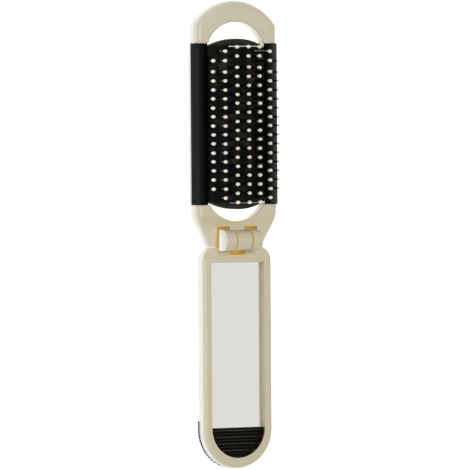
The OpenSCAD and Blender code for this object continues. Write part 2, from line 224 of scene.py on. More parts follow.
# The thumb grip: tall and low ribs in turn, inside a raised lip
RIB_PITCH = 1.34 * MM
RIB_H = 0.7 * MM
RIB_FIRST = 0.9 * MM
RIBS_OF_A_HEIGHT = 4
LOW_RIB = 0.62
RIBS_BELOW_GLASS = 0.1 * MM
LIP_W = 0.8 * MM
LIP_EDGE = 0.18 * MM
thumb_low, thumb_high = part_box("thumb_grip")
thumb_r = thumb_high.x
thumb_base = mirror_high.z - RIBS_BELOW_GLASS - RIB_H
lip_inner_r = thumb_r - LIP_W

# The sole: a thin plate with ribs hanging from it
SOLE_PITCH = 1.0 * MM
SOLE_FIRST = SOLE_PITCH / 2 + 0.1 * MM
SOLE_GROOVE = 0.6 * MM
SOLE_RIBS = 18
SOLE_TEETH_REACH = 6.5 * MM
SOLE_TEETH_FADE = 1.5 * MM
SOLE_TEETH_H = 0.9 * MM
SOLE_SHADOW_LINE_H = 0.4 * MM
sole_low, sole_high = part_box("back_grip")
SOLE_CENTRE_Y = sole_low.y + sole_high.x

# The hinge: pockets beside the middle knuckle, a slot below it and gaps between the knuckles, where ochre
# shade and glow are painted
HINGE_Y = frame["joints"][0]["pos_m"][1]
LUG_R = 4.2 * MM
LUG_OUT = 8.0 * MM
KNUCKLE_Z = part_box("handle_frame")[1].z - LUG_R
POCKET_OUT = 9.0 * MM
POCKET_NEAR, POCKET_FAR = -5.0 * MM, 3.5 * MM
SLOT_HALF = 3.8 * MM
SLOT_NEAR, SLOT_FAR = -8.0 * MM, -5.0 * MM
POCKET_FLOOR_Z, POCKET_TINT_Z, POCKET_GLOW_Z = 0.9 * MM, 2.5 * MM, 3.2 * MM
GAP_IN, GAP_OUT = 3.39 * MM, 3.71 * MM
GAP_REACH = 2.4 * MM
GAP_LOW_Z = 9.0 * MM
GAP_DEPTH = 1.0 * MM
LEFT_GAP_WIDER = 0.22 * MM
LEFT_GAP_LONGER = 2.0 * MM
SLIT_LOW_Z, SLIT_TOP_Z = 3.4 * MM, 5.0 * MM
LUG_END_LOW_Z, LUG_END_LIT_Z = 5.4 * MM, 9.0 * MM
LUG_END_PALE_Z, LUG_END_TOP_Z = 9.4 * MM, 11.6 * MM

# The ivory mouldings: the arcs of the head's openings, and where their painted shade, tints and glow change
RING_OPENING_R, RING_OPENING_Y = 13.4 * MM, 71.5 * MM
LOWER_OPENING_R, LOWER_OPENING_Y = 14.5 * MM, 20.0 * MM
OPENING_LIT_Z, OPENING_DARK_Z = 4.3 * MM, 6.6 * MM
WALL_GLOW_BOTTOM_Z, WALL_GLOW_Z = -0.5 * MM, 3.2 * MM
RECESS_DEEP_Z = 4.6 * MM
HANDLE_SIDE_FAR_Y, HANDLE_SIDE_LOW_Z = 9.0 * MM, 4.8 * MM
NECK_NEAR_Y, NECK_FAR_Y = 4.5 * MM, 6.0 * MM
PARTING_Z = 2.9 * MM

# The bristle field
COLUMNS = range(-3, 4)
FIELD_MARGIN = 1.15 * MM
COLUMN_PITCH = (PAD_HALF - FIELD_MARGIN) / COLUMNS[-1]
COLUMN_LEAN = math.radians(7.1)
LEAN_ALL = math.radians(-0.6)
EXTRA_LEAN = {COLUMNS[0]: math.radians(1.6), COLUMNS[-1]: math.radians(2.6)}
LEAN_PLAY = math.radians(0.6)
ROW_PITCH = 3.65 * MM
BRISTLE_L = 9 * MM
TIP_R = 0.88 * MM
DIP_R = 0.8 * MM
DIP_FLATTENED = (1.1, 0.91)
FAR_ROWS_Y = 68.8 * MM
FAR_SHIFT = 0.4 * MM
NEAR_SHIFT = 1.25 * MM
FAR_GLINT_Y, NEAR_GLINT_Y = 74.2 * MM, 13.0 * MM
LEFT_GLINT_LOW_Z, LEFT_GLINT_FULL_Z = 6.5 * MM, 12.0 * MM


def face_z(x):
    """Height of the cushion's arched face."""
    return PAD_CROWN - PAD_FACE_R + math.sqrt(PAD_FACE_R ** 2 - x ** 2)


def pad_reach(x):
    """Distance from the cushion's middle to its bowed end."""
    return PAD_REACH - PAD_END_R + math.sqrt(PAD_END_R ** 2 - x ** 2)


# ---- Colours, in linear RGB ----------------------------------------------

BLACK = (0, 0, 0, 1)
WHITE = (1, 1, 1, 1)

IVORY = (0.650, 0.594, 0.446, 1)
IVORY_WARM = (0.630, 0.566, 0.408, 1)
# Painted warm shade for the walls beside the mirror
IVORY_RECESS_SHADE = (0.88, 0.74, 0.50, 1)
# Painted paler, lit ivory for the lugs' ends
IVORY_LIT = (0.76, 0.74, 0.62, 1)
# Yellower tint for the fronts on the handle's side
HANDLE_SIDE_TINT = (1.0, 0.98, 0.905, 1)
# Painted shade on the neck
NECK_SHADE = (0.94, 0.945, 0.91, 1)
# Painted glow on the openings' walls: at their foot, at the foot of the lower opening, and higher up
WALL_GLOW_BOTTOM = (0.06, 0.04, 0.01, 1)
LOWER_WALL_GLOW_BOTTOM = (0.18, 0.16, 0.11, 1)
WALL_GLOW = (0.31, 0.30, 0.215, 1)
# Painted glow on the lugs' ends
END_LIGHT = (0.36, 0.37, 0.33, 1)
# Painted ochre shade and glow in the hinge
OCHRE_SHADE = (0.36, 0.21, 0.013, 1)
OCHRE_GLOW = (0.235, 0.14, 0.0055, 1)

SIDE_GRIP_BLACK = (0.0018, 0.0017, 0.0013, 1)
# Painted highlight, painted lit grey and a painted dark grey for the side grips' edge, right face and outer
# wall
SIDE_GRIP_HIGHLIGHT = (0.0175, 0.0168, 0.0138, 1)
SIDE_GRIP_LIT_GREY = (0.053, 0.051, 0.044, 1)
SIDE_GRIP_WALL = (0.0072, 0.0071, 0.0060, 1)
CARRIER_BLACK = (0.011, 0.011, 0.011, 1)
CARRIER_GREY = (0.02, 0.02, 0.019, 1)
CUSHION_BLACK = (0.0040, 0.0038, 0.0032, 1)
CUSHION_DUST = (0.0340, 0.0310, 0.0240, 1)
NYLON_BLACK = (0.0012, 0.0012, 0.001, 1)
NYLON_GREY = (0.004, 0.0038, 0.0034, 1)
# Painted glint of the white table on the bristles
TABLE_GLINT = (0.66, 0.66, 0.63, 1)
CREAM = (0.86, 0.79, 0.60, 1)
CREAM_LIGHT = (0.92, 0.87, 0.70, 1)
CREAM_STAINED = (0.72, 0.66, 0.50, 1)
# Painted lighter cream and painted glow for the outermost tips
CREAM_WHITE = (0.95, 0.94, 0.91, 1)
CREAM_LIT = (0.35, 0.35, 0.34, 1)
RUBBER_BLACK = (0.0024, 0.0022, 0.0017, 1)
# Painted highlight on the grip rubber's rib crests
RUBBER_CREST_HIGHLIGHT = (0.0500, 0.0455, 0.0360, 1)
# Painted on the ivory: the sole's rib ends, and the shadow line along them
RUBBER_EDGE_AND_SHADOW = (0.01, 0.01, 0.009, 1)
STEEL_DARK = (0.50, 0.50, 0.51, 1)
STEEL_BRIGHT = (0.66, 0.66, 0.67, 1)
FOAM_WHITE = (0.80, 0.80, 0.77, 1)
FOAM_GREY = (0.66, 0.66, 0.63, 1)
SILVER_DARK = (0.712, 0.705, 0.668, 1)
SILVER_BRIGHT = (0.738, 0.732, 0.698, 1)
GLASS_EDGE = (0.80, 0.84, 0.82, 1)
TABLE_WHITE = (0.90, 0.90, 0.89, 1)
TABLE_BRIGHT = (0.92, 0.92, 0.91, 1)

# ---- Materials -----------------------------------------------------------


def rubber_teeth_and_shadow(x, y, z):
    """Mask of the ends of the sole's ribs painted on the handle's edge, and of the thin painted shadow line
    that follows them.
    """
    from_centre = x.hypot((SOLE_CENTRE_Y - y).math("MAXIMUM", 0.0))
    outer = from_centre.above(sole_high.x - 0.2 * MM, 0.1 * MM)
    along = sole_high.y - y
    beat = ((along - SOLE_FIRST) * (2 * math.pi / SOLE_PITCH)).math("COSINE")
    row = along.above(0, 0.05 * MM) * along.below(SOLE_TEETH_REACH, SOLE_TEETH_FADE)
    teeth = beat.rise(-0.35, 0.35) * row * z.below(sole_high.z + SOLE_TEETH_H, 0.2 * MM)
    past_row = along.rise(SOLE_TEETH_REACH, SOLE_TEETH_REACH + SOLE_TEETH_FADE)
    # Painted shadow line along the sole past its teeth
    shadow_line = past_row * z.below(sole_high.z + SOLE_SHADOW_LINE_H, 0.2 * MM)
    return outer * (teeth | shadow_line)


def on_lug_end(side):
    """Mask of the plane of the lugs' end faces."""
    return abs(side - LUG_OUT).below(0.02 * MM, 0.04 * MM)


def hinge_gaps(x, y, z):
    """Masks of the ochre shade and glow painted in and between the hinge's knuckles: the colour, and the
    glow.
    """
    side, from_axis = abs(x), y - HINGE_Y
    left = x.rise(0, -0.1 * MM)
    pockets = y.above(POCKET_NEAR, 0.4 * MM) * y.below(POCKET_FAR, 0.3 * MM)
    pockets = pockets * side.below(POCKET_OUT, 0.25 * MM)
    slot = y.above(SLOT_NEAR, 0.4 * MM) * y.below(SLOT_FAR, 0.4 * MM) * side.below(SLOT_HALF, 0.2 * MM)
    floors = (pockets | slot) * z.above(POCKET_FLOOR_Z, 0.4 * MM)
    from_knuckle = from_axis.hypot((z - KNUCKLE_Z).math("MAXIMUM", 0.0))
    rim = from_knuckle.below(LUG_R - 0.1 * MM, 0.2 * MM) * from_knuckle.above(LUG_R - GAP_DEPTH, 0.3 * MM)
    from_crown = abs(from_axis) - left * LEFT_GAP_LONGER
    crown = from_crown.below(GAP_REACH, 0.6 * MM) * z.above(GAP_LOW_Z, 1.0 * MM)
    between = (side + left * LEFT_GAP_WIDER).above(GAP_IN, 0.09 * MM) * side.below(GAP_OUT, 0.09 * MM)
    between = between * rim * crown
    slit = on_lug_end(side) * left * abs(from_axis).below(LUG_R, 0.2 * MM)
    slit = slit * z.below(SLIT_TOP_Z, 0.6 * MM) * z.above(SLIT_LOW_Z, 0.8 * MM)
    colour = (floors * z.below(POCKET_TINT_Z, 0.8 * MM)) | between
    light = (floors * z.below(POCKET_GLOW_Z, 1.4 * MM)) | between | slit
    return colour, light


def lug_ends(x, y, z):
    """Masks of the lugs' end faces: where they are painted paler, as lit, and where glow is painted on them.
    """
    face = on_lug_end(abs(x)) * abs(y - HINGE_Y).below(LUG_R, 0.2 * MM) * z.above(LUG_END_LOW_Z, 0.6 * MM)
    pale = face * z.rise(LUG_END_TOP_Z, LUG_END_PALE_Z)
    lit = face * z.rise(LUG_END_LIT_Z, LUG_END_LOW_Z)
    return pale, lit


def opening_walls(x, y, z):
    """Masks of the walls of the head's two openings, where glow is painted, and of the lower opening alone.
    """

    def wall(from_arc):
        return from_arc.above(-0.1 * MM, 0.2 * MM) * from_arc.below(0.35 * MM, 0.2 * MM)

    ring_y, lower_y = y - RING_OPENING_Y, y - LOWER_OPENING_Y
    ring = wall(x.hypot(ring_y) - RING_OPENING_R) * ring_y.rise(-1.0 * MM, 0)
    lower = wall(x.hypot(lower_y) - LOWER_OPENING_R) * lower_y.rise(1.0 * MM, 0)
    both = (ring | lower) * z.rise(OPENING_DARK_Z, OPENING_LIT_Z) * z.rise(0.02 * MM, 0.15 * MM)
    return both, lower


def recess_walls(x, y, z):
    """Mask of the handle's walls beside the mirror, where a warm shade is painted."""
    beside = abs(x).above(mirror_high.x, 0.05 * MM) * abs(x).below(mirror_high.x + 0.2 * MM, 0.2 * MM)
    along = y.above(mirror_low.y, 1.0 * MM) * y.below(mirror_high.y, 0.2 * MM)
    return beside * along * z.below(RECESS_DEEP_Z, 0.6 * MM)


def paint_ivory(net):
    """Satin moulded ivory, with painted warm shade in the mirror's recess, painted shade on the neck, painted
    ochre shade and glow in the hinge, paler painted light and glow on the lugs' ends, glow painted on the
    openings' walls, and the sole's rib ends and their shadow line painted on its edge.
    """
    x, y, z = net.axes(net.place())
    gap, glow = hinge_gaps(x, y, z)
    pale_lit_end, lit_end = lug_ends(x, y, z)
    mouth, low_mouth = opening_walls(x, y, z)
    # Painted glow on the walls of the head's openings, faint at their foot and brighter higher up, then on
    # the lugs' ends and in the hinge
    light = net.blend(low_mouth, WALL_GLOW_BOTTOM, LOWER_WALL_GLOW_BOTTOM)
    light = net.blend(z.rise(WALL_GLOW_BOTTOM_Z, WALL_GLOW_Z), light, WALL_GLOW)
    light = net.blend(mouth, BLACK, light)
    light = net.blend(lit_end, light, END_LIGHT)
    light = net.blend(glow, light, OCHRE_GLOW)
    # Yellower on the fronts of the handle and the neck
    handle_side = y.below(HANDLE_SIDE_FAR_Y, 4 * MM) * z.above(HANDLE_SIDE_LOW_Z, 1.2 * MM)
    # Painted shade across the neck's front, over its left part and middle
    neck_shade = y.below(NECK_FAR_Y, 4 * MM) * y.above(NECK_NEAR_Y, 1.5 * MM) * x.below(1 * MM, 5 * MM)
    cloud = net.noise(90, 3)
    colour = net.blend(cloud.rise(0.3, 0.75), IVORY, IVORY_WARM)
    colour = net.tint(handle_side, colour, HANDLE_SIDE_TINT)
    colour = net.tint(neck_shade, colour, NECK_SHADE)
    # Painted warm shade on the walls beside the mirror
    colour = net.blend(recess_walls(x, y, z), colour, IVORY_RECESS_SHADE)
    # Painted light: the lugs' ends paler
    colour = net.blend(pale_lit_end, colour, IVORY_LIT)
    # Painted ochre shade in the hinge's pockets, slot and knuckle gaps
    colour = net.blend(gap, colour, OCHRE_SHADE)
    colour = net.blend(rubber_teeth_and_shadow(x, y, z), colour, RUBBER_EDGE_AND_SHADOW)
    peel, grain = net.noise(900, 2), net.noise(5200, 2)
    parting = abs(z - PARTING_Z).below(0.02 * MM, 0.07 * MM)
    height = peel * 0.55 + grain * 0.3 + parting * 0.25
    return principled(
        net, Base_Color=colour, Roughness=net.noise(300, 3).span(0.26, 0.42), IOR=1.5,
        Specular_IOR_Level=0.5, Coat_Weight=cloud.span(0.04, 0.14), Coat_Roughness=0.12,
        Emission_Color=light, Emission_Strength=1.0, Normal=net.bump(height, 0.02 * MM))


def paint_side_grip(net):
    """Satin black moulding: a painted highlight along its outer edge, painted light greying the right one's
    face, and its outer side wall painted a dark grey.
    """
    x = net.axes(net.place())[0]
    side = abs(x)
    streaks = net.noise(420, 4, (1, 0.12, 1)).span(0.7, 1.3)
    # Painted highlight along the outer edge, painted light greying the right grip's face, and the outer wall
    # painted a dark grey
    edge_highlight = side.rise(rail_high.x - HIGHLIGHT_START, rail_high.x - HIGHLIGHT_FULL) * streaks
    lit_grey = x.rise(rail_low.x + GREY_START, rail_high.x - GREY_FULL) * streaks
    colour = net.blend(edge_highlight, SIDE_GRIP_BLACK, SIDE_GRIP_HIGHLIGHT)
    colour = net.blend(lit_grey, colour, SIDE_GRIP_LIT_GREY)
    colour = net.blend(side.above(rail_high.x - 0.06 * MM, 0.08 * MM), colour, SIDE_GRIP_WALL)
    grain = net.noise(3600, 3) + net.noise(700, 1) * 0.6
    return principled(
        net, Base_Color=colour, Roughness=net.noise(260, 3).span(0.34, 0.48), Specular_IOR_Level=0.02,
        Normal=net.bump(grain, 0.012 * MM))


def paint_carrier(net):
    """Plain matte black moulding."""
    colour = net.blend(net.noise(160, 3), CARRIER_BLACK, CARRIER_GREY)
    return principled(
        net, Base_Color=colour, Roughness=net.noise(500, 3).span(0.42, 0.6), Specular_IOR_Level=0.2,
        Normal=net.bump(net.noise(2600, 3), 0.02 * MM))


def paint_cushion(net):
    """Matte rubber, dusty between the rows and paler towards its ends."""
    along = abs(net.axes(net.place())[1] - PAD_Y)
    # Paler towards the ends
    end = along.rise(PAD_REACH - 3.5 * MM, PAD_REACH - 1.0 * MM) * 0.8
    dust_and_ends = (net.noise(240, 4).rise(0.42, 0.8) * 0.8 + end).math("MINIMUM", 1.0)
    return principled(
        net, Base_Color=net.blend(dust_and_ends, CUSHION_BLACK, CUSHION_DUST),
        Roughness=net.noise(1100, 3).span(0.46, 0.66), Specular_IOR_Level=0.03,
        Normal=net.bump(net.noise(3200, 4), 0.02 * MM))


def bristle_tone(net):
    """The chance number that each bristle carries."""
    return net.node("ShaderNodeAttribute", {"attribute_name": "tone"}, output="Fac")


def paint_nylon(net):
    """Glossy black, with a painted glint of the white table along the outer side of the end rows and of the
    leftmost columns.
    """
    x, y, z = net.axes(net.place())
    facing_x, facing_y, _ = net.axes(net.node("ShaderNodeNewGeometry", output="Normal"))
    # Painted glint of the white table
    far = y.above(FAR_GLINT_Y, 1.3 * MM) * facing_y.rise(0.1, 0.5)
    near = y.below(NEAR_GLINT_Y, 1.6 * MM) * facing_y.rise(-0.3, -0.7) * 0.5
    second = x.below(-2 * COLUMN_PITCH + 0.6 * MM, 0.6 * MM)
    first = x.below(-3 * COLUMN_PITCH + 0.3 * MM, 0.6 * MM)
    left = (second + first * 2.6) * z.rise(LEFT_GLINT_LOW_Z, LEFT_GLINT_FULL_Z)
    left = left * facing_x.rise(-0.1, -0.6) * 0.09
    return principled(
        net, Base_Color=net.blend(bristle_tone(net), NYLON_BLACK, NYLON_GREY),
        Roughness=net.noise(1500, 2).span(0.2, 0.34), IOR=1.53, Specular_IOR_Level=0.12,
        Emission_Color=net.blend(far | near | left, BLACK, TABLE_GLINT), Emission_Strength=1.0,
        Normal=net.bump(net.noise(2400, 2, (1, 1, 0.2)), 0.008 * MM))


def paint_tips(net):
    """Cream dipped tips, each a shade of its own, the outermost column painted whiter than the rest and given
    a painted glow.
    """
    # Painted lighter colour and painted glow on the outermost column
    outermost = net.axes(net.place())[0].above(3 * COLUMN_PITCH + 1.3 * MM, 0.6 * MM)
    colour = net.blend(bristle_tone(net), CREAM, CREAM_LIGHT)
    colour = net.blend(net.noise(700, 2).rise(0.5, 0.9) * 0.3, colour, CREAM_STAINED)
    colour = net.blend(outermost, colour, CREAM_WHITE)
    return principled(
        net, Base_Color=colour, Roughness=net.noise(1800, 2).span(0.28, 0.42), IOR=1.5,
        Emission_Color=net.blend(outermost, BLACK, CREAM_LIT), Emission_Strength=1.0,
        Normal=net.bump(net.noise(2200, 2), 0.012 * MM))


def paint_steel(net):
    """Drawn steel with fine lines along the pin."""
    lines = net.noise(5200, 3, (0.03, 1, 1))
    return principled(
        net, Base_Color=net.blend(lines, STEEL_DARK, STEEL_BRIGHT), Metallic=1.0,
        Roughness=lines.span(0.22, 0.4), Normal=net.bump(lines, 0.006 * MM))


def paint_foam(net):
    """White foam tape with fine open cells."""
    cells = net.node("ShaderNodeTexVoronoi", {}, {"Vector": net.place(), "Scale": 2400.0})
    return principled(
        net, Base_Color=net.blend(cells, FOAM_WHITE, FOAM_GREY), Roughness=cells.span(0.8, 0.95),
        Normal=net.bump(cells, 0.04 * MM))


def paint_mirror(net):
    """Silvered face, its edge ground and a little green."""
    x, y, z = net.axes(net.place())
    to_side = mirror_high.x - abs(x)
    to_end = (mirror_high.y - mirror_low.y) / 2 - abs(y - (mirror_low.y + mirror_high.y) / 2)
    face = to_side.math("MINIMUM", to_end).rise(0, SILVER_MARGIN)
    face = face * z.above(mirror_high.z - MIRROR_BEVEL, 0.2 * MM)
    face = face * y.above(mirror_low.y + SILVER_NEAR_MARGIN, 0.12 * MM)
    haze = net.noise(45, 3)
    silver = net.blend(haze, SILVER_DARK, SILVER_BRIGHT)
    return principled(
        net, Base_Color=net.blend(face, GLASS_EDGE, silver), Metallic=face, IOR=1.52,
        Roughness=net.blend_value(face, 0.35, haze.span(0.015, 0.05)))


def paint_grip_rubber(net):
    """Soft black rubber, with a painted highlight along the crests of its ribs and in stripes up the inside
    of its lip.
    """
    x, y, z = net.axes(net.place())
    from_middle = x.hypot(y - thumb_high.y)
    inside_lip = from_middle.below(lip_inner_r - 0.15 * MM, 0.2 * MM)
    crest = z.rise(thumb_base + 0.30 * RIB_H, thumb_base + 0.95 * RIB_H)
    crest = inside_lip * crest * z.rise(thumb_base + 2.2 * RIB_H, thumb_base + 1.6 * RIB_H)
    tall_rib = ((thumb_high.y - RIB_FIRST - y) * (math.pi / RIB_PITCH)).math("COSINE").rise(0.1, 1.0)
    up_lip = tall_rib * inside_lip.math("LESS_THAN", 0.5) * from_middle.below(thumb_r - 0.35 * MM, 0.2 * MM)
    up_lip = up_lip * z.above(thumb_base + 0.1 * MM, 0.1 * MM)
    # Painted highlight on the rib crests and in stripes up the lip
    crest_highlight = (crest | up_lip * 0.55) * net.noise(330, 4).span(0.6, 1.3)
    return principled(
        net, Base_Color=net.blend(crest_highlight, RUBBER_BLACK, RUBBER_CREST_HIGHLIGHT), Roughness=crest_highlight.span(0.6, 0.42),
        Specular_IOR_Level=0.03, Normal=net.bump(net.noise(2800, 4), 0.025 * MM))


IVORY_PLASTIC = material("ivory plastic", paint_ivory)
SIDE_GRIP_PLASTIC = material("side grip plastic", paint_side_grip)
CARRIER_PLASTIC = material("carrier plastic", paint_carrier)
CUSHION_RUBBER = material("cushion rubber", paint_cushion)
BRISTLE_NYLON = material("bristle nylon", paint_nylon)
TIP_PLASTIC = material("dipped tip", paint_tips)
PIN_STEEL = material("pin steel", paint_steel)
ADHESIVE_FOAM = material("adhesive foam", paint_foam)
MIRROR_SILVER = material("silvered mirror", paint_mirror)
GRIP_RUBBER = material("grip rubber", paint_grip_rubber)


def dress(node, finish):
    """Gives a CAD node's own solid a finish."""
    for place in frame["nodes"][node].material_slots:
        place.material = finish


for node, finish in {
    "head_frame": IVORY_PLASTIC, "handle_frame": IVORY_PLASTIC,
    "side_grip_left": SIDE_GRIP_PLASTIC, "side_grip_right": SIDE_GRIP_PLASTIC,
    "cushion_carrier": CARRIER_PLASTIC, "hinge_pin": PIN_STEEL, "mirror_adhesive": ADHESIVE_FOAM,
}.items():
    dress(node, finish)

# ---- Mesh helpers --------------------------------------------------------


def new_piece(name, built, finish, sharp=35):
    """Turns a bmesh into an object whose faces point outwards."""
    bmesh.ops.recalc_face_normals(built, faces=built.faces)
    mesh = bpy.data.meshes.new(name)
    built.to_mesh(mesh)
    built.free()
    mesh.shade_smooth()
    mesh.set_sharp_from_angle(angle=math.radians(sharp))
    if finish:
        mesh.materials.append(finish)
    made = bpy.data.objects.new(name, mesh)
    bpy.context.scene.collection.objects.link(made)
    return made


def turned(name, profile, sides):
    """A turned shape from (radius, height) pairs in millimetres, bottom to top."""
    built = bmesh.new()
    rings = []
    for radius, height in profile:
        if radius == 0:
            rings.append([built.verts.new((0, 0, height * MM))])
            continue
        turns = (2 * math.pi * i / sides for i in range(sides))
        rings.append([
            built.verts.new((radius * MM * math.cos(turn), radius * MM * math.sin(turn), height * MM))
            for turn in turns])
    for low, high in zip(rings, rings[1:]):
        for i in range(sides):
            j = (i + 1) % sides
            corners = [low[i % len(low)], low[j % len(low)], high[j % len(high)], high[i % len(high)]]
            built.faces.new(list(dict.fromkeys(corners)))
    for end in (rings[0], rings[-1]):
        if len(end) > 1:
            built.faces.new(end)
    return new_piece(name, built, None, 80)


def lofted(name, rings, finish, sharp=35):
    """A closed shape through rings of points, with the first and last ring filled."""
    built = bmesh.new()
    loops = [[built.verts.new(point) for point in ring] for ring in rings]
    count = len(loops[0])
    for low, high in zip(loops, loops[1:]):
        for i in range(count):
            j = (i + 1) % count
            built.faces.new((low[i], low[j], high[j], high[i]))
    built.faces.new(loops[0])
    built.faces.new(loops[-1])
    return new_piece(name, built, finish, sharp)


def grown(base, name, tree, values, finish):
    """Runs a Geometry Nodes tree on base and keeps its result as a plain mesh."""
    change = base.modifiers.new("grow", "NODES")
    change.node_group = tree
    for item in tree.interface.items_tree:
        if item.in_out == "INPUT" and item.name in values:
            change[item.identifier] = values[item.name]
    graph = bpy.context.evaluated_depsgraph_get()
    mesh = bpy.data.meshes.new_from_object(
        base.evaluated_get(graph), preserve_all_data_layers=True, depsgraph=graph)
    mesh.name = name
    bpy.data.objects.remove(base)
    mesh.materials.clear()
    mesh.materials.append(finish)
    made = bpy.data.objects.new(name, mesh)
    bpy.context.scene.collection.objects.link(made)
    return made


def new_tree(name, sizes):
    """A Geometry Nodes group with named inputs, given as name to socket type."""
    tree = bpy.data.node_groups.new(name, "GeometryNodeTree")
    tree.interface.new_socket("Geometry", in_out="INPUT", socket_type="NodeSocketGeometry")
    for label, kind in sizes.items():
        tree.interface.new_socket(label, in_out="INPUT", socket_type="NodeSocket" + kind)
    tree.interface.new_socket("Geometry", in_out="OUTPUT", socket_type="NodeSocketGeometry")
    net = Net(tree)
    entry = net.node("NodeGroupInput")
    sockets = {socket.name: Wire(net, socket) for socket in entry.socket.node.outputs if socket.name}
    return tree, net, sockets


def stamped(net, given):
    """The object that a tree repeats, as one instance."""
    return net.node("GeometryNodeObjectInfo", {"transform_space": "ORIGINAL"},
                    {"Object": given, "As Instance": True}, output="Geometry")


def close_tree(net, geometry, finish):
    """Ends a tree in Realize Instances and Set Material."""
    real = net.node("GeometryNodeRealizeInstances", {}, {0: geometry})
    done = net.node("GeometryNodeSetMaterial", {}, {"Geometry": real, "Material": finish})
    net.node("NodeGroupOutput", {}, {"Geometry": done})


def joined(kept, *others):
    """Joins meshes of one finish into the first."""
    built = bmesh.new()
    for piece in (kept, *others):
        built.from_mesh(piece.data)
    built.to_mesh(kept.data)
    built.free()
    for piece in others:
        bpy.data.objects.remove(piece)
    return kept


def ridden(piece, body, slot, *nodes):
    """Puts a finished piece on its body and hides the solids that it stands for; slot is not used."""
    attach(piece, body)
    if nodes:
        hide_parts(*nodes)


# ---- Bristle field -------------------------------------------------------


def field_tree(finish):
    """Stamps one shape on every root, leaning as its column does, with a little play."""
    tree, net, given = new_tree("bristle field", {
        "Stamp": "Object", "Lean play": "Float", "Size play": "Float", "Seed": "Int"})

    def chance(low, high, shift):
        return net.node("FunctionNodeRandomValue", {"data_type": "FLOAT"},
                        {2: low, 3: high, "Seed": given["Seed"] + shift}, output=1)

    lean = net.node("GeometryNodeInputNamedAttribute", {"data_type": "FLOAT"}, {"Name": "lean"})
    play = given["Lean play"]
    turn = net.node("ShaderNodeCombineXYZ", {}, {
        0: chance(-1, 1, 0) * play, 1: lean + chance(-1, 1, 1) * play})
    size = 1 - chance(0, 1, 2) * given["Size play"]
    points = net.node("GeometryNodeInstanceOnPoints", {}, {
        "Points": given["Geometry"], "Instance": stamped(net, given["Stamp"]), "Rotation": turn,
        "Scale": net.node("ShaderNodeCombineXYZ", {}, {0: size, 1: size, 2: 1.0})})
    toned = net.node("GeometryNodeStoreNamedAttribute", {"data_type": "FLOAT", "domain": "INSTANCE"},
                     {"Geometry": points, "Name": "tone", "Value": chance(0, 1, 3)})
    close_tree(net, toned, finish)
    return tree


def column_nodes(kind):
    """Names of the seven solids of one kind, left to right."""
    return [f"{kind}_column_{k - COLUMNS[0] + 1}" for k in COLUMNS]


def row_count(node):
    """Rows of a column, from the length of its row of tips."""
    low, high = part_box(node)
    return round((high.y - low.y - 2 * TIP_R) / ROW_PITCH) + 1


def root_points(name):
    """One point for each bristle root, with its column's lean.

    The rows stand a little closer than the solids' rows, apart from the far two."""
    points, leans = [], []
    for k, node in zip(COLUMNS, column_nodes("tips")):
        rows, x = row_count(node), k * COLUMN_PITCH
        lean = k * COLUMN_LEAN + LEAN_ALL + EXTRA_LEAN.get(k, 0)
        for i in range(rows):
            y = PAD_Y + (i - (rows - 1) / 2) * ROW_PITCH
            if y > FAR_ROWS_Y:
                y -= FAR_SHIFT
            else:
                y -= NEAR_SHIFT * (y - cushion_low.y) / (FAR_ROWS_Y - cushion_low.y)
            points.append((x, y, face_z(x)))
            leans.append(lean)
    mesh = bpy.data.meshes.new(name)
    mesh.from_pydata(points, [], [])
    mesh.attributes.new("lean", "FLOAT", "POINT").data.foreach_set("value", leans)
    made = bpy.data.objects.new(name, mesh)
    bpy.context.scene.collection.objects.link(made)
    return made


def bristle_part(name, profile, sides, finish, slot, nodes=(),
                 lean_play=LEAN_PLAY, size_play=0.0, flattened=(1, 1)):
    """One turned shape on every root, as a single piece on the head."""
    stamp = turned(name + "_stamp", profile, sides)
    stamp.data.transform(Matrix.Diagonal((*flattened, 1, 1)))
    values = {"Stamp": stamp, "Lean play": lean_play, "Size play": size_play, "Seed": SEED}
    made = grown(root_points(name + "_roots"), name, field_tree(finish), values, finish)
    bpy.data.objects.remove(stamp)
    ridden(made, "head", slot, *nodes)


def dip_profile():
    """Section of a dipped tip in millimetres: a coat that swells into a ball."""
    tip_l, tip_r = BRISTLE_L / MM, DIP_R / MM
    coat = [(radius, tip_l - under) for radius, under in (
        (0.38, 1.30), (0.43, 1.24), (0.49, 1.02), (0.59, 0.74), (0.70, 0.48))]
    ball = [(tip_r * math.cos(angle), tip_l + tip_r * math.sin(angle))
            for angle in (math.radians(degrees) for degrees in (-14, 8, 30, 52, 72))]
    return coat + ball + [(0, tip_l + tip_r)]


# Sections of a shaft and of the collar at its root, as (radius, height) in millimetres
SHAFT_PROFILE = [(0.48, -1.2), (0.60, 0.0), (0.53, 0.22), (0.49, 0.7),
                 (0.46, 2.5), (0.42, 5.2), (0.385, 6.8), (0.35, 8.2)]
COLLAR_PROFILE = [(1.12, -0.3), (1.08, -0.02), (0.96, 0.12), (0.80, 0.22), (0.66, 0.22), (0.56, 0.1)]

bristle_part(
    "bristle_shafts", SHAFT_PROFILE, 10, BRISTLE_NYLON, "bristle_nylon", column_nodes("bristles"))
bristle_part(
    "ball_tips", dip_profile(), 12, TIP_PLASTIC, "tip_plastic", column_nodes("tips"),
    size_play=0.05, flattened=DIP_FLATTENED)
bristle_part(
    "root_collars", COLLAR_PROFILE, 14, CUSHION_RUBBER, "cushion_rubber", lean_play=0.0)

# ---- Cushion -------------------------------------------------------------


def stations(half, rim, step):
    """Positions from -half to half, close together over the rounded rim."""
    near = [half - rim * share for share in (0, 0.06, 0.2, 0.4, 0.65, 1)]
    count = math.ceil((half - rim) / step)
    inner = [(half - rim) * i / count for i in range(count)]
    up = sorted(near + inner)
    return sorted({-value for value in up} | set(up))


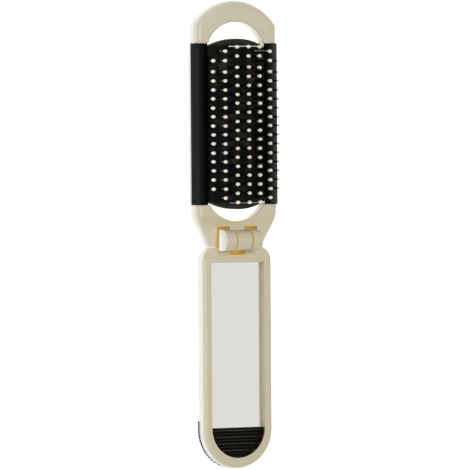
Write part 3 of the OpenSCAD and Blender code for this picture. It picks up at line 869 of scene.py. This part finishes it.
def make_cushion():
    """An arched pad with bowed ends: its face as a grid, then a wall down from its edge."""
    built = bmesh.new()
    rows = []
    for across in stations(PAD_HALF, PAD_RIM, PAD_STEP_ACROSS):
        reach = pad_reach(across)
        row = []
        for along in stations(PAD_REACH, PAD_RIM, PAD_STEP_ALONG):
            y = along / PAD_REACH * reach
            edge = min(PAD_HALF - abs(across), reach - abs(y))
            short = max(PAD_RIM - edge, 0)
            drop = PAD_RIM - math.sqrt(PAD_RIM ** 2 - short ** 2)
            row.append(built.verts.new((across, PAD_Y + y, face_z(across) - drop)))
        rows.append(row)
    for low, high in zip(rows, rows[1:]):
        for i in range(len(low) - 1):
            built.faces.new((low[i], high[i], high[i + 1], low[i + 1]))
    rim = [edge for edge in built.edges if edge.is_boundary]
    wall = bmesh.ops.extrude_edge_only(built, edges=rim)["geom"]
    for vert in (item for item in wall if isinstance(item, bmesh.types.BMVert)):
        vert.co.z = PAD_BOTTOM
    hem = [item for item in wall if isinstance(item, bmesh.types.BMEdge) and item.is_boundary]
    bmesh.ops.edgeloop_fill(built, edges=hem)
    return new_piece("cushion", built, CUSHION_RUBBER)


ridden(make_cushion(), "head", "cushion_rubber", "bristle_cushion")

# ---- Mirror --------------------------------------------------------------


def rectangle(low, high, inset, z, corner=0.5 * MM, steps=4):
    """Ring of a rectangle with small round corners."""
    ring = []
    for turn, (x, y) in enumerate(((high.x, high.y), (low.x, high.y), (low.x, low.y), (high.x, low.y))):
        cx = x - math.copysign(corner, x)
        cy = y - corner if y == high.y else y + corner
        for i in range(steps + 1):
            angle = math.pi / 2 * (turn + i / steps)
            ring.append((cx + (corner - inset) * math.cos(angle), cy + (corner - inset) * math.sin(angle), z))
    return ring


mirror_rings = [rectangle(mirror_low, mirror_high, inset, z) for inset, z in (
    (0, mirror_low.z), (0, mirror_high.z - MIRROR_BEVEL), (MIRROR_BEVEL, mirror_high.z))]
ridden(lofted("mirror_plate", mirror_rings, MIRROR_SILVER, 20), "handle", "mirror_glass", "mirror_glass")

# ---- Rubber grips --------------------------------------------------------


def rib_section(half, middle=()):
    """Section of a rib from its (y, z) points on one side, mirrored to the other."""
    return [*half, *middle, *((-y, z) for y, z in reversed(half))]


def bar(name, section, drawn_in):
    """A rib from x = -1 to 1 with its section in millimetres, its ends drawn in by a share at the crest."""
    crest = max(abs(z) for _, z in section)
    rings = [[(side * (1 - drawn_in * abs(z) / crest), y * MM, z * MM) for y, z in section]
             for side in (-1, 1)]
    return lofted(name, rings, None, 50)


def rib_tree(finish):
    """Joins a plate with ribs across it; a rib is as wide as the round outline is there."""
    tree, net, given = new_tree("ribs across", {
        "Rib": "Object", "Ribs": "Int", "Start": "Vector", "Pitch": "Float",
        "Outline radius": "Float", "Outline centre": "Float", "Widest": "Float", "Margin": "Float"})
    line = net.node("GeometryNodeMeshLine", {}, {
        "Count": given["Ribs"], "Start Location": given["Start"],
        "Offset": net.node("ShaderNodeCombineXYZ", {}, {1: 0 - given["Pitch"]})})
    y = net.axes(net.node("GeometryNodeInputPosition"))[1]
    from_centre = (given["Outline centre"] - y).math("MAXIMUM", 0.0) + given["Margin"]
    radius = given["Outline radius"]
    chord = (radius * radius - from_centre * from_centre).math("MAXIMUM", 1e-8).math("SQRT")
    width = chord.math("MINIMUM", given["Widest"])
    ribs = net.node("GeometryNodeInstanceOnPoints", {}, {
        "Points": line, "Instance": stamped(net, given["Rib"]),
        "Scale": net.node("ShaderNodeCombineXYZ", {}, {0: width, 1: 1.0, 2: 1.0})})
    both = net.node("GeometryNodeJoinGeometry")
    for part in (ribs, given["Geometry"]):
        net.tree.links.new(part.socket, both.socket.node.inputs[0])
    close_tree(net, both, finish)
    return tree


def ribbed(plate, name, rib, values):
    """The plate with ribs across it, in grip rubber; the rib itself is used up."""
    made = grown(plate, name, rib_tree(GRIP_RUBBER), {"Rib": rib, **values}, GRIP_RUBBER)
    bpy.data.objects.remove(rib)
    return made


def half_turn(radius, centre_y, steps=48):
    """Points of a half circle below centre_y, from right to left."""
    return [(radius * math.cos(angle), centre_y - radius * math.sin(angle))
            for angle in (math.pi * i / steps for i in range(steps + 1))]


def make_thumb_insert():
    """A half-round dish: a flat floor, a raised lip round it and ribs across."""
    outline = half_turn(thumb_r, thumb_high.y)
    floor = [[(x, y, z) for x, y in outline] for z in (thumb_low.z, thumb_base)]
    plate = lofted("thumb_plate", floor, GRIP_RUBBER)
    top, ease = thumb_high.z, 0.3 * LIP_EDGE
    lip_section = [
        (thumb_r, thumb_base - 0.1 * MM), (thumb_r, top - LIP_EDGE),
        (thumb_r - ease, top - ease), (thumb_r - LIP_EDGE, top),
        (lip_inner_r + LIP_EDGE, top), (lip_inner_r + ease, top - ease),
        (lip_inner_r, top - LIP_EDGE), (lip_inner_r - 0.1 * MM, thumb_base + 0.3 * MM),
        (lip_inner_r - 0.3 * MM, thumb_base - 0.1 * MM)]
    arcs = [half_turn(radius, thumb_high.y) for radius, _ in lip_section]
    lip_rings = [[(x, y, z) for (x, y), (_, z) in zip(points, lip_section)] for points in zip(*arcs)]
    lip = lofted("thumb_lip", lip_rings, GRIP_RUBBER, 30)
    section = rib_section([(-0.40, -0.05), (-0.36, 0.16), (-0.28, 0.50), (-0.18, 0.66)], [(0, RIB_H / MM)])
    for turn, height in enumerate((1.0, LOW_RIB)):
        rib = bar("thumb_rib", [(y, z * height) for y, z in section], 0.035)
        plate = ribbed(plate, "thumb_insert", rib, {
            "Ribs": RIBS_OF_A_HEIGHT, "Start": (0, thumb_high.y - RIB_FIRST - turn * RIB_PITCH, thumb_base),
            "Pitch": 2 * RIB_PITCH, "Outline radius": lip_inner_r, "Outline centre": thumb_high.y,
            "Widest": thumb_r, "Margin": 0.3 * MM})
    return joined(plate, lip)


ridden(make_thumb_insert(), "handle", "grip_rubber", "thumb_grip")


def sole_outline(inset, z):
    """Ring of the sole: straight at the waist side and round at the handle's end."""
    r, waist_y = sole_high.x - inset, sole_high.y - inset
    return [(r, waist_y, z), *((x, y, z) for x, y in half_turn(r, SOLE_CENTRE_Y)), (-r, waist_y, z)]


def make_sole():
    """A thin plate that follows the handle's end, with ribs across its underside."""
    rings = [sole_outline(inset, z) for inset, z in (
        (0.05 * MM, SOLE_GROOVE), (0, SOLE_GROOVE + 0.05 * MM), (0, sole_high.z))]
    plate = lofted("sole_plate", rings, GRIP_RUBBER)
    section = rib_section([(-0.36, 0.06), (-0.33, -0.47), (-0.27, -0.88), (-0.2, -1.0)])
    rib = bar("sole_rib", [(y, z * SOLE_GROOVE / MM) for y, z in section], 0.002)
    return ribbed(plate, "back_sole", rib, {
        "Ribs": SOLE_RIBS, "Start": (0, sole_high.y - SOLE_FIRST, SOLE_GROOVE), "Pitch": SOLE_PITCH,
        "Outline radius": sole_high.x, "Outline centre": SOLE_CENTRE_Y, "Widest": sole_high.x,
        "Margin": 0.12 * MM})


ridden(make_sole(), "handle", "grip_rubber", "back_grip")

# ---- Stage ---------------------------------------------------------------

FLOOR_HALF = 3.0
FLOOR_DROP = 0.05 * MM
TABLE_LIFT = (0.62, 0.62, 0.62, 1)
TABLE_GLOW = (1.08, 1.23, 1.85, 1)
AMBIENT = 0.25


def eye_sees(net):
    """1 for camera, mirror and glass rays, 0 for rays that light the object."""
    path = net.node("ShaderNodeLightPath").socket.node.outputs
    camera, glossy, clear = (
        Wire(net, path[name]) for name in ("Is Camera Ray", "Is Glossy Ray", "Is Transmission Ray"))
    return camera | glossy | clear


def paint_floor(net):
    """White light table. It glows under the brush, and is lifted to white where it is looked at,
    so only a soft shadow shows."""
    paper = net.blend(net.noise(14, 3), TABLE_WHITE, TABLE_BRIGHT)
    lit = net.node("ShaderNodeBsdfDiffuse", {}, {"Color": paper})
    colour = net.blend(eye_sees(net), TABLE_GLOW, TABLE_LIFT)
    lift = net.node("ShaderNodeEmission", {}, {"Color": colour, "Strength": 1.0})
    return net.node("ShaderNodeAddShader", {}, {0: lit, 1: lift})


def make_floor():
    """The table top, just under the brush."""
    built = bmesh.new()
    bmesh.ops.create_grid(built, x_segments=8, y_segments=8, size=FLOOR_HALF)
    floor = new_piece("floor", built, material("white ground", paint_floor))
    for vert in floor.data.vertices:
        vert.co.z = solid_low.z - FLOOR_DROP


def make_world():
    """Even room light, seen as white."""
    world = bpy.data.worlds.new("studio")
    world.use_nodes = True
    world.node_tree.nodes.clear()
    net = Net(world.node_tree)
    strength = net.blend_value(eye_sees(net), AMBIENT, 1.0)
    glow = net.node("ShaderNodeBackground", {}, {"Color": WHITE, "Strength": strength})
    net.node("ShaderNodeOutputWorld", {}, {"Surface": glow})
    bpy.context.scene.world = world


def softbox(name, place, aim, width, height, power, colour):
    """A soft rectangular lamp in watts, turned towards aim."""
    lamp = bpy.data.lights.new(name, "AREA")
    lamp.shape, lamp.size, lamp.size_y = "RECTANGLE", width, height
    lamp.energy, lamp.color = power, colour
    made = bpy.data.objects.new(name, lamp)
    made.location = place
    made.rotation_euler = (Vector(aim) - Vector(place)).to_track_quat("-Z", "Y").to_euler()
    made.visible_camera = False
    bpy.context.scene.collection.objects.link(made)


make_floor()
make_world()
softbox("overhead", place=(0.05, 0.1, 1.25), aim=(0, 0, 0),
        width=0.8, height=0.8, power=9.2, colour=(1, 1, 1))
softbox("table_edge", place=(-0.34, 0, 0.011), aim=(0, 0, 0.011),
        width=0.62, height=0.02, power=0.36, colour=(0.85, 0.94, 1))

# ---- Camera --------------------------------------------------------------

VIEW_TILT, VIEW_PITCH, VIEW_ROLL = (math.radians(angle) for angle in (27.39, 1.297, -0.363))
VIEW_DISTANCE = 2.1148
VIEW_CENTRE = Vector((-0.85, -0.119, 5.0)) * MM
VIEW_LENS, VIEW_SENSOR = 405.7, 36
VIEW_NEAREST, VIEW_FURTHEST = 0.1, 20


def make_camera():
    """A long lens over the brush, tilted to its left side, pitched and rolled a little."""
    back = Vector((-math.sin(VIEW_TILT) * math.cos(VIEW_PITCH), math.sin(VIEW_PITCH),
                   math.cos(VIEW_TILT) * math.cos(VIEW_PITCH)))
    up = (Vector((0, 1, 0)) - back * back.y).normalized()
    right = up.cross(back)
    across = right * math.cos(VIEW_ROLL) + up * math.sin(VIEW_ROLL)
    upward = up * math.cos(VIEW_ROLL) - right * math.sin(VIEW_ROLL)
    data = bpy.data.cameras.new("view")
    data.lens, data.sensor_width = VIEW_LENS, VIEW_SENSOR
    data.clip_start, data.clip_end = VIEW_NEAREST, VIEW_FURTHEST
    made = bpy.data.objects.new("view", data)
    turn = Matrix((across, upward, back)).transposed().to_4x4()
    made.matrix_world = Matrix.Translation(VIEW_CENTRE + back * VIEW_DISTANCE) @ turn
    bpy.context.scene.collection.objects.link(made)
    bpy.context.scene.camera = made


make_camera()
bpy.context.scene.view_settings.view_transform = "Standard"
